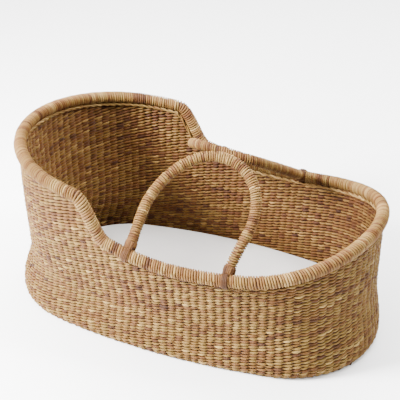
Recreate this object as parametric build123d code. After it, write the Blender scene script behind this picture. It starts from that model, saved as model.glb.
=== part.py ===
"""Moses basket of twined seagrass with two rope handles and a loose mattress.

All sizes are in millimetres.  The origin is the middle of the base on the floor,
+X points to the foot end, +Y to the far side and +Z up.
"""
from build123d import *

import math
import os

os.makedirs("parts", exist_ok=True)

# Basket outline: a four-centre oval whose size changes with height.
BASE_HALF_LENGTH = 400.0
BASE_HALF_WIDTH = 217.0
WAIST_HALF_LENGTH = 378.0
RIM_HALF_WIDTH = 246.0
BASE_ROUNDNESS = 0.915  # end radius as a share of the half width, at the base
RIM_ROUNDNESS = 0.95  # the same at the rim, where the ends are blunter
LEAN_TO_FOOT = 8.0  # the body sits this far toward the foot above the base
EDGE_INSET = 11.0  # how far the rounded bottom edge tucks in
EDGE_HEIGHT = 20.0
WAIST_START, WAIST_HEIGHT = 22.0, 130.0  # heights between which the ends draw in
FLARE_START, FLARE_END = 60.0, 300.0  # heights between which the sides open out

# Weave: an outer and an inner layer of floats with the upright stakes between.
LAYER = 3.0  # thickness of one layer of floats
STAKE_SPACE = 3.0  # room between the layers
STAKE_DIAMETER = 2.0
STAKE_PITCH = 17.0
STAKE_BEND = 12.0
STAKE_TOP_GAP = 5.0  # between the top of a stake and the rim roll
BASE_THICKNESS = 8.0

# Rim line, seen from the side.
HEAD_TIP_HEIGHT = 372.0
HEAD_EDGE_HEIGHT = 340.0  # where the head side starts to drop
HEAD_EDGE_X = -145.0
SCOOP_TOP_X, SCOOP_FOOT_X = -142.0, -78.0  # the steep drop lies between these
SIDE_LOW_HEIGHT = 225.0
SIDE_LOW_X = 90.0
SIDE_RISE = 32.4  # rise of the side at SIDE_RISE_RUN toward the head
SIDE_RISE_RUN = 180.0
FOOT_TIP_RISE = 52.0
FOOT_RISE_POWER = 2.5

# Rim roll and handles: a bundle of grass wrapped with a grass strand.
RIM_RADIUS = 13.0
RIM_CORE_RADIUS = 9.0
HANDLE_RADIUS = 11.0
HANDLE_CORE_RADIUS = 7.5
HANDLE_HEIGHT = 225.0  # from the pivot line to the middle of the top
HANDLE_FEET = (-33.0, 160.0)  # where the feet stand along the side
HANDLE_BULGE = 6.5  # how far the legs spread past the feet
HANDLE_SHOULDER = 100.0  # height at which the half ellipse of the top starts
HANDLE_ARCH_STEPS = 8
NEAR_LEAN = 46.0  # inward lean from upright, degrees
FAR_LEAN = 60.0
NEAR_SKEW = -22.0  # how far the top sits toward the head
FAR_SKEW = 24.0
SEAT_RUN = 44.0  # length of rim under each foot between its corners

# Lashings on the rim and whippings on the handle feet.
LASHING_WIDTH = 16.0
LASHING_THICKNESS = 2.5
FOOT_GAP = 4.0  # between a lashing and the handle foot that swings over it
WHIPPING_LENGTH = 13.0
WHIPPING_THICKNESS = 1.6

# Mattress: foam in a zipped cover of three panels.
MATTRESS_END_ROOM = 35.0  # in from the ends of the base outline
MATTRESS_SIDE_ROOM = 15.0  # in from its sides
MATTRESS_THICKNESS = 40.0
MATTRESS_GAP = 0.3  # above the woven base
COVER = 1.2
CREASE = 10.0  # roundness of the mattress edges
ZIP_WIDTH = 14.0
ZIP_THICKNESS = 0.8
ZIP_HALF_ANGLE = 38.0  # share of the foot end that the zip runs round, degrees
SLIDER_LENGTH, SLIDER_HEIGHT, SLIDER_THICKNESS = 9.0, 7.0, 2.4

WALL = 2.0 * LAYER + STAKE_SPACE
MATTRESS_HALF_LENGTH = BASE_HALF_LENGTH - MATTRESS_END_ROOM
MATTRESS_HALF_WIDTH = BASE_HALF_WIDTH - MATTRESS_SIDE_ROOM
LASHING_RADIUS = RIM_RADIUS + LASHING_THICKNESS
WALL_HEIGHTS = (0.0, 10.0, 20.0, 55.0, 90.0, 130.0, 180.0, 240.0, 300.0, 400.0)
BIG = 2000.0


def smooth(value, start, end):
    """Rise from 0 at start to 1 at end, level at both."""
    share = min(max((value - start) / (end - start), 0.0), 1.0)
    return share * share * (3.0 - 2.0 * share)


class Oval:
    """Four-centre oval: two end arcs joined by two flatter side arcs."""

    def __init__(self, half_length, half_width, end_radius, shift=0.0):
        self.half_length = half_length
        self.half_width = half_width
        self.end_radius = end_radius
        self.shift = shift
        self.end_centre = half_length - end_radius
        self.side_radius = (half_length**2 + half_width**2 - 2.0 * half_length * end_radius) / (
            2.0 * (half_width - end_radius)
        )
        self.side_centre = half_width - self.side_radius
        self.join_angle = math.atan2(-self.side_centre, self.end_centre)
        self.join_x = self.end_centre + end_radius * math.cos(self.join_angle)

    def end_x(self, degrees):
        """Distance from the middle of a point on the end arc, by its angle."""
        return self.end_centre + self.end_radius * math.cos(math.radians(degrees))

    def breadth(self, x):
        """Half breadth at the place x."""
        along = abs(x - self.shift)
        if along < self.join_x:
            return self.side_centre + math.sqrt(self.side_radius**2 - along**2)
        reach = min(along - self.end_centre, self.end_radius)
        return math.sqrt(self.end_radius**2 - reach**2)

    def point(self, share):
        """Point at a share of the way round, from the foot tip over the far side."""
        end_part = self.end_radius * self.join_angle
        side_part = self.side_radius * (math.pi - 2.0 * self.join_angle)
        half = 2.0 * end_part + side_part
        run = (share % 1.0) * 2.0 * half
        turned = run >= half
        run = run - half if turned else run
        if run < end_part:
            angle = run / self.end_radius
            x, y = self.end_centre, 0.0
            radius = self.end_radius
        elif run < end_part + side_part:
            angle = self.join_angle + (run - end_part) / self.side_radius
            x, y = 0.0, self.side_centre
            radius = self.side_radius
        else:
            angle = math.pi - (half - run) / self.end_radius
            x, y = -self.end_centre, 0.0
            radius = self.end_radius
        x, y = x + radius * math.cos(angle), y + radius * math.sin(angle)
        return (self.shift - x, -y) if turned else (self.shift + x, y)

    def perimeter(self):
        """Length of the outline."""
        sides = self.side_radius * (math.pi - 2.0 * self.join_angle)
        return 2.0 * sides + 4.0 * self.end_radius * self.join_angle

    def wire(self, z):
        """Closed wire of the four arcs at the height z."""
        cos_join, sin_join = math.cos(self.join_angle), math.sin(self.join_angle)
        x = self.end_centre + self.end_radius * cos_join
        y = self.end_radius * sin_join
        corners = [(x, -y), (x, y), (-x, y), (-x, -y)]
        middles = [
            (self.half_length, 0.0),
            (0.0, self.half_width),
            (-self.half_length, 0.0),
            (0.0, -self.half_width),
        ]
        edges = []
        for turn in range(4):
            places = (corners[turn], middles[turn], corners[(turn + 1) % 4])
            edges.append(ThreePointArc(*[(px + self.shift, py, z) for px, py in places]))
        return Wire(edges)


def outline(z, inset=0.0):
    """Basket outline at the height z, moved in from the outer face by inset."""
    drawn_in = smooth(z, WAIST_START, WAIST_HEIGHT)
    flared = smooth(z, FLARE_START, FLARE_END)
    tuck = EDGE_INSET * max(1.0 - z / EDGE_HEIGHT, 0.0) ** 2
    half_length = BASE_HALF_LENGTH + (WAIST_HALF_LENGTH - BASE_HALF_LENGTH) * drawn_in
    half_width = BASE_HALF_WIDTH + (RIM_HALF_WIDTH - BASE_HALF_WIDTH) * flared
    roundness = BASE_ROUNDNESS + (RIM_ROUNDNESS - BASE_ROUNDNESS) * flared
    cut = inset + tuck
    return Oval(
        half_length - cut, half_width - cut, half_width * roundness - cut, LEAN_TO_FOOT * drawn_in
    )


def body_solid(inset):
    """Solid inside the basket face that lies inset from the outer one."""
    return Solid.make_loft([outline(z, inset).wire(z) for z in WALL_HEIGHTS], ruled=True)


def wall_point(share, z):
    """Point midway through the wall, on the straight run between two wall heights."""
    low = max(height for height in WALL_HEIGHTS if height <= z)
    high = min(height for height in WALL_HEIGHTS if height > z)
    start = Vector(*outline(low, WALL / 2.0).point(share), low)
    end = Vector(*outline(high, WALL / 2.0).point(share), high)
    return start + (end - start) * ((z - low) / (high - low))


def rim_height(x):
    """Height of the middle of the rim roll at the place x."""
    head = HEAD_EDGE_HEIGHT + (HEAD_TIP_HEIGHT - HEAD_EDGE_HEIGHT) * (HEAD_EDGE_X - x) / (
        HEAD_EDGE_X + WAIST_HALF_LENGTH
    )
    if x < SIDE_LOW_X:
        side = SIDE_LOW_HEIGHT + SIDE_RISE * ((SIDE_LOW_X - x) / SIDE_RISE_RUN) ** 2
    else:
        share = (x - SIDE_LOW_X) / (WAIST_HALF_LENGTH - SIDE_LOW_X)
        side = SIDE_LOW_HEIGHT + FOOT_TIP_RISE * share**FOOT_RISE_POWER
    return side + (head - side) * smooth(-x, -SCOOP_FOOT_X, -SCOOP_TOP_X)


def rim_point(x, side):
    """Point in the middle of the rim roll, over the middle of the wall."""
    z = rim_height(x)
    return Vector(x, side * outline(z, WALL / 2.0).breadth(x), z)


def rim_stations():
    """Places along X where the rim line gets a corner, from foot tip to head tip."""
    foot_end = outline(rim_height(WAIST_HALF_LENGTH), WALL / 2.0)
    head_end = outline(rim_height(-WAIST_HALF_LENGTH), WALL / 2.0)
    end_angles = (0.0, 16.0, 32.0, 48.0, 64.0)
    stations = [foot_end.shift + foot_end.end_x(angle) for angle in end_angles]
    for foot in reversed(HANDLE_FEET):
        stations += [foot + SEAT_RUN / 2.0, foot - SEAT_RUN / 2.0]
    gap = (HANDLE_FEET[1] - HANDLE_FEET[0]) / 3.0
    stations += [HANDLE_FEET[0] + gap, HANDLE_FEET[0] + 2.0 * gap]
    drop = (SCOOP_FOOT_X - SCOOP_TOP_X) / 3.0
    stations += [SCOOP_FOOT_X + drop / 3.0 - drop * step for step in range(5)]
    stations += [head_end.shift - head_end.end_x(angle) for angle in end_angles]
    return sorted(stations, reverse=True)


def bend_radii(points, closed, share=0.3, largest=2500.0):
    """Radius at each corner so that its arc uses a share of the shorter run beside it."""
    radii = []
    count = len(points)
    for index in range(count) if closed else range(1, count - 1):
        before = points[index] - points[index - 1]
        after = points[(index + 1) % count] - points[index]
        half_turn = math.radians(before.get_angle(after)) / 2.0
        run = min(before.length, after.length) * share
        radii.append(min(run / math.tan(half_turn), largest))
    return radii


def without_straight_corners(points, least_turn=0.12):
    """Points of a line without the corners that turn less than least_turn degrees."""
    kept = [points[0]]
    for index in range(1, len(points) - 1):
        if (points[index] - kept[-1]).get_angle(points[index + 1] - points[index]) > least_turn:
            kept.append(points[index])
    return kept + [points[-1]]


def rope(path, radius):
    """Round solid of the given radius along a path."""
    section = Plane(origin=path @ 0, z_dir=path % 0) * Circle(radius)
    return sweep(section, path=path)


def save(name, *shapes):
    """Write one node as its own STEP file."""
    solids = [solid for shape in shapes for solid in shape.solids()]
    node = Compound(label=name, children=solids) if len(solids) > 1 else solids[0]
    node.label = name
    export_step(node, f"parts/{name}.step")


# Rim line: corners round the far side, then back round the near side.
far_rim = [rim_point(x, 1.0) for x in rim_stations()]
near_rim = [Vector(p.X, -p.Y, p.Z) for p in reversed(far_rim[1:-1])]
rim_corners = far_rim + near_rim
rim_path = FilletPolyline(*rim_corners, radius=bend_radii(rim_corners, True), close=True)
rim_roll = rope(rim_path, RIM_RADIUS)
rim_core = rope(rim_path, RIM_CORE_RADIUS)

# Everything below the rim line, as one block as wide as the basket.
side_points = [(x, rim_height(x)) for x in reversed(rim_stations())]
side_points = [(-BIG, side_points[0][1])] + side_points + [(BIG, side_points[-1][1])]
below_rim = extrude(
    Plane.XZ * make_face(Polyline(*side_points, (BIG, -BIG), (-BIG, -BIG), close=True)),
    amount=BIG,
    both=True,
)

# Woven base and wall layers.
outer_face = body_solid(0.0)
stake_outer_face = body_solid(LAYER)
stake_inner_face = body_solid(LAYER + STAKE_SPACE)
inner_face = body_solid(WALL)
below_base_top = Pos(0, 0, BASE_THICKNESS - BIG / 2.0) * Box(BIG, BIG, BIG)
base_weave = stake_outer_face & below_base_top
whole_wall = (outer_face - inner_face) & below_rim
outer_weave = (outer_face - stake_outer_face) & below_rim
outer_weave = outer_weave - rim_roll
inner_weave = (stake_inner_face - inner_face - below_base_top) & below_rim
inner_weave = inner_weave - rim_roll

# Upright stakes, standing on the base between the two layers, in pairs all round.
stake_count = 2 * round(outline(EDGE_HEIGHT).perimeter() / STAKE_PITCH / 2.0)
stakes = []
for index in range(stake_count):
    share = (index + 0.5) / stake_count
    top_x = wall_point(share, SIDE_LOW_HEIGHT).X
    slope = rim_height(top_x + 1.0) - rim_height(top_x)
    top = rim_height(top_x) - (RIM_RADIUS + STAKE_TOP_GAP) * math.hypot(1.0, slope)
    bends = [z for z in WALL_HEIGHTS if z < top - STAKE_BEND]
    stake_points = [wall_point(share, z) for z in bends + [top]]
    stake_path = FilletPolyline(*without_straight_corners(stake_points), radius=STAKE_BEND)
    stakes.append(rope(stake_path, STAKE_DIAMETER / 2.0) - below_base_top)

save("base_weave", base_weave)
save("outer_wall_weave", outer_weave)
save("inner_wall_weave", inner_weave)
save("wall_stakes", *stakes)
save("rim_binding", rim_roll - rim_core)
save("rim_core", rim_core)


def make_handle(side, lean, skew, name):
    """One rope handle, its whippings and the lashings that hold its feet."""
    seats = [rim_point(x, side) for x in HANDLE_FEET]
    along = (seats[1] - seats[0]).normalized()
    middle = (seats[0] + seats[1]) * 0.5
    half_span = (seats[1] - seats[0]).length / 2.0
    tilt = math.radians(lean)
    leaning = Vector(0.0, -side * math.sin(tilt), math.cos(tilt))
    up = (leaning - along * leaning.dot(along)).normalized()

    def place(across, height):
        moved = across - skew * smooth(height, 0.0, HANDLE_HEIGHT)
        return middle + along * moved + up * height

    foot = LASHING_RADIUS + FOOT_GAP
    arch_half = half_span + HANDLE_BULGE
    arch_rise = HANDLE_HEIGHT - HANDLE_SHOULDER
    corners = [place(-half_span, foot)]
    for step in range(HANDLE_ARCH_STEPS + 1):
        angle = math.pi * step / HANDLE_ARCH_STEPS
        height = HANDLE_SHOULDER + arch_rise * math.sin(angle)
        corners.append(place(-arch_half * math.cos(angle), height))
    corners.append(place(half_span, foot))
    path = FilletPolyline(*corners, radius=bend_radii(corners, False))
    core = rope(path, HANDLE_CORE_RADIUS)
    binding = rope(path, HANDLE_RADIUS) - core
    whippings = []
    for start, toward in ((corners[0], corners[1]), (corners[-1], corners[-2])):
        frame = Plane(origin=start, z_dir=toward - start)
        ring = Circle(HANDLE_RADIUS + WHIPPING_THICKNESS) - Circle(HANDLE_RADIUS)
        whippings.append(extrude(frame * ring, amount=WHIPPING_LENGTH))
    save(f"{name}_handle_core", core)
    save(f"{name}_handle_binding", binding)
    save(f"{name}_handle_whippings", *whippings)
    for x, end in zip(HANDLE_FEET, ("head", "foot")):
        run = rim_point(x + SEAT_RUN / 2.0, side) - rim_point(x - SEAT_RUN / 2.0, side)
        seat = (rim_point(x + SEAT_RUN / 2.0, side) + rim_point(x - SEAT_RUN / 2.0, side)) * 0.5
        frame = Plane(origin=seat, z_dir=run)
        ring = Circle(LASHING_RADIUS) - Circle(RIM_RADIUS)
        band = extrude(frame * ring, amount=LASHING_WIDTH / 2.0, both=True)
        save(f"{name}_{end}_lashing", band - whole_wall)


make_handle(-1.0, NEAR_LEAN, NEAR_SKEW, "near")
make_handle(1.0, FAR_LEAN, FAR_SKEW, "far")

# Mattress.
mattress_bottom = BASE_THICKNESS + MATTRESS_GAP
mattress_top = mattress_bottom + MATTRESS_THICKNESS


def mattress_oval(inset):
    """Outline of the mattress, moved in by inset."""
    radius = MATTRESS_HALF_WIDTH * BASE_ROUNDNESS
    return Oval(
        MATTRESS_HALF_LENGTH - inset, MATTRESS_HALF_WIDTH - inset, radius - inset, LEAN_TO_FOOT
    )


def mattress_block(inset):
    """Solid of the mattress with rounded edges, moved in all round by inset."""
    base = Face(mattress_oval(inset).wire(mattress_bottom + inset))
    block = extrude(base, amount=MATTRESS_THICKNESS - 2.0 * inset, dir=(0, 0, 1))
    rims = block.edges().group_by(Axis.Z)
    return fillet(rims[0] + rims[-1], CREASE - inset)


mattress = mattress_block(0.0)
foam = mattress_block(COVER)
cover = mattress - foam
crease_low = mattress_bottom + CREASE
crease_high = mattress_top - CREASE
above = Pos(0, 0, crease_high + BIG / 2.0) * Box(BIG, BIG, BIG)
below = Pos(0, 0, crease_low - BIG / 2.0) * Box(BIG, BIG, BIG)
save("mattress_foam", foam)
save("mattress_top_cover", cover & above)
save("mattress_base_cover", cover & below)
save("mattress_border", cover - above - below)

# Zip round the foot end of the border.
zip_middle = (mattress_bottom + mattress_top) / 2.0
zip_ring = extrude(
    Face(mattress_oval(-ZIP_THICKNESS).wire(zip_middle - ZIP_WIDTH / 2.0))
    - Face(mattress_oval(0.0).wire(zip_middle - ZIP_WIDTH / 2.0)),
    amount=ZIP_WIDTH,
    dir=(0, 0, 1),
)
end_middle = LEAN_TO_FOOT + mattress_oval(0.0).end_centre
wedge_reach = MATTRESS_HALF_WIDTH * 2.0
wedge_side = wedge_reach * math.tan(math.radians(ZIP_HALF_ANGLE))
wedge = extrude(
    Pos(end_middle, 0, 0)
    * make_face(Polyline((0, 0), (wedge_reach, -wedge_side), (wedge_reach, wedge_side), close=True)),
    amount=mattress_top * 2.0,
)
save("zip_tape", zip_ring & wedge)
slider_angle = math.radians(ZIP_HALF_ANGLE * 0.8)
slider_reach = mattress_oval(0.0).end_radius + ZIP_THICKNESS + SLIDER_THICKNESS / 2.0
slider = (
    Pos(end_middle, 0, zip_middle)
    * Rot(0, 0, -math.degrees(slider_angle))
    * Pos(slider_reach, 0, 0)
    * Box(SLIDER_THICKNESS, SLIDER_LENGTH, SLIDER_HEIGHT)
)
save("zip_slider", slider - zip_ring)
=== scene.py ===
"""Looks of the moses basket: twined grass walls, wrapped rim and handles, mattress.

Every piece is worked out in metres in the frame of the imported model: the origin is
the middle of the base on the floor, +X points to the foot end and +Z up.
"""

import logging
import math
from dataclasses import dataclass, field
from enum import Enum

import bpy
import numpy as np
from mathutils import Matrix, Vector

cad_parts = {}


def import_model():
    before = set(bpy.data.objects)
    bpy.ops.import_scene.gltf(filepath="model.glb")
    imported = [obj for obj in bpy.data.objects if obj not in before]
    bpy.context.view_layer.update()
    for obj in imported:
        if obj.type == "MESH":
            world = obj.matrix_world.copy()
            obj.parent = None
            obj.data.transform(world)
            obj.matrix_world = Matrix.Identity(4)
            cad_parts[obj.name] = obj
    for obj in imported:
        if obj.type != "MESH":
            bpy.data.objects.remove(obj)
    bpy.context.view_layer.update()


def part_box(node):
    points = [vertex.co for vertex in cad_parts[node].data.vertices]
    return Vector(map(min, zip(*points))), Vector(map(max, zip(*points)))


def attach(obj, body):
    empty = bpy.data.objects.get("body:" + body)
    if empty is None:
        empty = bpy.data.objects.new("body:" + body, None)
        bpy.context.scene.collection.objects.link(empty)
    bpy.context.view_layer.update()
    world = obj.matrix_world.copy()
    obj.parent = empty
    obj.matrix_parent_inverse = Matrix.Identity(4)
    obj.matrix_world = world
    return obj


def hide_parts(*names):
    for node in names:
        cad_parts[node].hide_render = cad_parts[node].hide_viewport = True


LOG = logging.getLogger("moses_basket")
MM = 0.001
TAU = 2.0 * math.pi


class Side(Enum):
    """Long side of the basket."""

    NEAR = -1.0
    FAR = 1.0


# --------------------------------------------------------------------------
# Small numeric helpers
# --------------------------------------------------------------------------


def smooth(value: np.ndarray, start: float, end: float) -> np.ndarray:
    """Rise from 0 at start to 1 at end along 3t^2 - 2t^3.

    Args:
        value: Places to work out.
        start: Where the rise begins.
        end: Where it is complete.

    Returns:
        The share of the rise at each place.
    """
    share = np.clip((np.asarray(value, float) - start) / (end - start), 0.0, 1.0)
    return share * share * (3.0 - 2.0 * share)


def unit(vectors: np.ndarray) -> np.ndarray:
    """Scale each vector of the last axis to length one."""
    return vectors / np.maximum(np.linalg.norm(vectors, axis=-1, keepdims=True), 1e-12)


def hashed(*keys: np.ndarray) -> np.ndarray:
    """Repeatable random number in 0..1 for each combination of whole-number keys.

    The fraction of a large sine of the weighted sum of the keys.

    Args:
        keys: Arrays that broadcast together.

    Returns:
        One value per combination.
    """
    total = sum((index + 1.0) * 12.9898 * np.asarray(key, float) * (1.0 + 0.37 * index)
                for index, key in enumerate(keys))
    return np.modf(np.abs(np.sin(total + 4.1414) * 43758.5453))[0]


def wander(along: np.ndarray, seed: float, waves: int = 5) -> np.ndarray:
    """Smooth wander in -1..1 along a line: a sum of sines with odd phases.

    Args:
        along: Whole-loop share, so that whole waves join up at the ends.
        seed: Changes the phases.
        waves: How many sines are added.

    Returns:
        The wander at each place.
    """
    counts = np.arange(1, waves + 1)
    phase = TAU * hashed(counts, np.full(waves, seed))
    turns = np.round(counts * 2.7 + 3.0 * hashed(counts, np.full(waves, seed + 9.0)))
    return np.sin(TAU * np.multiply.outer(along, turns) + phase).sum(axis=-1) / waves


# --------------------------------------------------------------------------
# Basket form
# --------------------------------------------------------------------------


@dataclass(frozen=True)
class Form:
    """Sizes of the basket body, and the formulas of its wall and rim line."""

    base_half_length: float = 400 * MM
    base_half_width: float = 217 * MM
    waist_half_length: float = 378 * MM
    rim_half_width: float = 246 * MM
    base_roundness: float = 0.915
    rim_roundness: float = 0.95
    lean_to_foot: float = 8 * MM
    edge_inset: float = 11 * MM
    edge_height: float = 20 * MM
    waist_start: float = 22 * MM
    waist_height: float = 130 * MM
    flare_start: float = 60 * MM
    flare_end: float = 300 * MM
    wall: float = 9 * MM
    head_tip_height: float = 372 * MM
    head_edge_height: float = 340 * MM
    head_edge_x: float = -145 * MM
    scoop_top_x: float = -142 * MM
    scoop_foot_x: float = -78 * MM
    side_low_height: float = 225 * MM
    side_low_x: float = 90 * MM
    side_rise: float = 32.4 * MM
    side_rise_run: float = 180 * MM
    foot_tip_rise: float = 52 * MM
    foot_rise_power: float = 2.5

    def sizes(self, z: np.ndarray, inset: np.ndarray) -> tuple[np.ndarray, ...]:
        """Half length, half width, end radius and shift of the outline.

        Args:
            z: Heights.
            inset: How far in from the outer face.

        Returns:
            The four sizes, each of the shape of the inputs.
        """
        drawn = smooth(z, self.waist_start, self.waist_height)
        flared = smooth(z, self.flare_start, self.flare_end)
        tuck = self.edge_inset * np.maximum(1.0 - z / self.edge_height, 0.0) ** 2
        length = self.base_half_length + (self.waist_half_length - self.base_half_length) * drawn
        width = self.base_half_width + (self.rim_half_width - self.base_half_width) * flared
        roundness = self.base_roundness + (self.rim_roundness - self.base_roundness) * flared
        cut = inset + tuck
        return length - cut, width - cut, width * roundness - cut, self.lean_to_foot * drawn

    def ring(self, share: np.ndarray, z: np.ndarray, inset: np.ndarray) -> np.ndarray:
        """Points of the four-centre oval at a share of its length.

        The oval is two end arcs of the end radius and two side arcs whose radius is
        (a*a + b*b - 2*a*r) / (2*(b - r)); the arc that holds the share gives the point
        as its centre plus its radius along the angle.

        Args:
            share: Share of the way round from the foot tip, any real number.
            z: Heights, of the same shape.
            inset: How far in from the outer face, of the same shape.

        Returns:
            Points, with X, Y, Z on the last axis.
        """
        share, z, inset = np.broadcast_arrays(*(np.asarray(v, float) for v in (share, z, inset)))
        length, width, radius, shift = self.sizes(z, inset)
        return oval_points(share, length, width, radius, shift, z)

    def outward(self, share: np.ndarray, z: np.ndarray) -> np.ndarray:
        """Level direction square to the outline: the way along it, turned by a quarter.

        Args:
            share: Shares of the way round.
            z: Heights.

        Returns:
            Unit vectors.
        """
        step = 1e-4
        way = self.ring(np.asarray(share) + step, z, 0.0) - self.ring(share - step, z, 0.0)
        return unit(np.stack([way[..., 1], -way[..., 0], np.zeros(way.shape[:-1])], axis=-1))

    def rim_height(self, x: np.ndarray) -> np.ndarray:
        """Height of the rim line.

        A parabola along the side, a power curve to the foot tip and a straight slope
        at the head, joined by a smooth drop.

        Args:
            x: Places along the basket.

        Returns:
            Heights of the middle of the rim roll.
        """
        x = np.asarray(x, float)
        head_run = self.head_edge_x + self.waist_half_length
        head_slope = (self.head_tip_height - self.head_edge_height) / head_run
        head = self.head_edge_height + head_slope * (self.head_edge_x - x)
        back = np.maximum(self.side_low_x - x, 0.0) / self.side_rise_run
        front = np.maximum(x - self.side_low_x, 0.0) / (self.waist_half_length - self.side_low_x)
        side = self.side_low_height + self.side_rise * back**2
        side = side + self.foot_tip_rise * front**self.foot_rise_power
        return side + (head - side) * smooth(-x, -self.scoop_foot_x, -self.scoop_top_x)

    def rim_line(self, share: np.ndarray) -> np.ndarray:
        """Middle of the rim roll, over the middle of the wall.

        Found by repeated steps: the height follows from X, and X from the outline at
        that height.

        Args:
            share: Shares of the way round.

        Returns:
            Points of the rim line.
        """
        z = np.full(np.shape(share), self.side_low_height)
        for _ in range(12):
            points = self.ring(share, z, self.wall / 2.0)
            z = 0.5 * z + 0.5 * self.rim_height(points[..., 0])
        points = self.ring(share, z, self.wall / 2.0)
        points[..., 2] = self.rim_height(points[..., 0])
        return points


def oval_points(
    share: np.ndarray,
    length: np.ndarray,
    width: np.ndarray,
    radius: np.ndarray,
    shift: np.ndarray,
    z: np.ndarray,
) -> np.ndarray:
    """Points on four-centre ovals, each given by its half sizes and end radius.

    Args:
        share: Share of the way round from the foot tip.
        length: Half lengths.
        width: Half widths.
        radius: End radii.
        shift: Moves of the oval along X.
        z: Heights.

    Returns:
        Points, with X, Y, Z on the last axis.
    """
    values = (share, length, width, radius, shift, z)
    share, length, width, radius, shift, z = np.broadcast_arrays(*values)
    end = length - radius
    side_radius = (length**2 + width**2 - 2.0 * length * radius) / (2.0 * (width - radius))
    drop = width - side_radius
    join = np.arctan2(-drop, end)
    end_part = radius * join
    side_part = side_radius * (math.pi - 2.0 * join)
    half = 2.0 * end_part + side_part
    run = np.mod(share, 1.0) * 2.0 * half
    turned = run >= half
    run = np.where(turned, run - half, run)
    on_foot = run < end_part
    on_side = ~on_foot & (run < end_part + side_part)
    angle = np.where(
        on_foot,
        run / radius,
        np.where(on_side, join + (run - end_part) / side_radius, math.pi - (half - run) / radius),
    )
    centre_x = np.where(on_foot, end, np.where(on_side, 0.0, -end))
    centre_y = np.where(on_side, drop, 0.0)
    reach = np.where(on_side, side_radius, radius)
    x = centre_x + reach * np.cos(angle)
    y = centre_y + reach * np.sin(angle)
    sign = np.where(turned, -1.0, 1.0)
    return np.stack([shift + sign * x, sign * y, z], axis=-1)


# --------------------------------------------------------------------------
# Strands and meshes
# --------------------------------------------------------------------------


@dataclass
class Strand:
    """One strand: an oval section carried along a line of points."""

    centres: np.ndarray
    across: np.ndarray
    upward: np.ndarray
    half_across: np.ndarray
    half_upward: np.ndarray
    closed: bool
    tint: np.ndarray
    # inside: 0..1 mask of painted shade, where the finish darkens the strand as lying in the shade
    # inside the basket
    inside: np.ndarray
    sides: int = 6

    def rings(self) -> np.ndarray:
        """Ring points: centre + across*cos + upward*sin at even angles."""
        angle = TAU * np.arange(self.sides) / self.sides
        out = self.half_across[:, None, None] * np.cos(angle)[None, :, None]
        out = out * self.across[:, None, :]
        rise = self.half_upward[:, None, None] * np.sin(angle)[None, :, None]
        return self.centres[:, None, :] + out + rise * self.upward[:, None, :]


@dataclass
class StrandMesh:
    """Collects strands into one mesh with UV and colour attributes."""

    name: str
    points: list[np.ndarray] = field(default_factory=list)
    quads: list[np.ndarray] = field(default_factory=list)
    quad_uv: list[np.ndarray] = field(default_factory=list)
    caps: list[np.ndarray] = field(default_factory=list)
    tint: list[np.ndarray] = field(default_factory=list)
    # inside: per-point mask of painted shade
    inside: list[np.ndarray] = field(default_factory=list)
    count: int = 0

    def add(self, strand: Strand) -> None:
        """Add one strand as a grid of quads, with flat caps on open ends.

        Args:
            strand: The strand to add.
        """
        rings = strand.rings()
        rows, sides = rings.shape[:2]
        index = self.count + np.arange(rows * sides).reshape(rows, sides)
        after = np.roll(index, -1, axis=0) if strand.closed else index[1:]
        here = index if strand.closed else index[:-1]
        quads = np.stack(
            [here, after, np.roll(after, -1, axis=1), np.roll(here, -1, axis=1)], axis=-1
        )
        steps = np.linalg.norm(np.diff(strand.centres, axis=0), axis=1)
        run = np.concatenate([[0.0], np.cumsum(steps)])
        run_after = np.append(run[1:], run[-1] + run[1])[: len(here)]
        u = np.stack([run[: len(here)], run_after, run_after, run[: len(here)]], axis=-1)
        v0 = np.arange(sides) / sides
        v = np.stack([v0, v0, v0 + 1.0 / sides, v0 + 1.0 / sides], axis=-1)
        uv = np.stack(np.broadcast_arrays(u[:, None, :], v[None, :, :]), axis=-1)
        self.points.append(rings.reshape(-1, 3))
        self.quads.append(quads.reshape(-1, 4))
        self.quad_uv.append(uv.reshape(-1, 4, 2))
        if not strand.closed:
            self.caps += [index[0], index[-1][::-1]]
        self.tint.append(np.repeat(strand.tint, sides))
        self.inside.append(np.repeat(strand.inside, sides))
        self.count += rows * sides

    def build(self, material: bpy.types.Material, body: str, slot: str) -> bpy.types.Object:
        """Write the mesh and make it ride.

        Args:
            material: Finish of the strands.
            body: Body that the piece moves with.
            slot: Not used.

        Returns:
            The finished object.
        """
        quads = np.concatenate(self.quads)
        sizes = np.concatenate([np.full(len(quads), 4), [len(cap) for cap in self.caps]])
        corners = np.concatenate([quads.ravel()] + self.caps).astype(np.int32)
        starts = np.concatenate([[0], np.cumsum(sizes)[:-1]]).astype(np.int32)
        mesh = bpy.data.meshes.new(self.name)
        mesh.vertices.add(self.count)
        mesh.vertices.foreach_set("co", np.concatenate(self.points).astype(np.float32).ravel())
        mesh.loops.add(len(corners))
        mesh.loops.foreach_set("vertex_index", corners)
        mesh.polygons.add(len(sizes))
        mesh.polygons.foreach_set("loop_start", starts)
        mesh.polygons.foreach_set("use_smooth", np.ones(len(sizes), bool))
        uv = np.zeros((len(corners), 2), np.float32)
        uv[: quads.size] = np.concatenate(self.quad_uv).reshape(-1, 2)
        mesh.uv_layers.new(name="strand").data.foreach_set("uv", uv.ravel())
        # the inside attribute carries the painted-shade mask to the finish
        for name, parts in (("tint", self.tint), ("inside", self.inside)):
            layer = mesh.attributes.new(name, "FLOAT", "POINT")
            layer.data.foreach_set("value", np.concatenate(parts).astype(np.float32))
        mesh.update(calc_edges=True)
        mesh.validate()
        return place(self.name, mesh, material, body)


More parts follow.
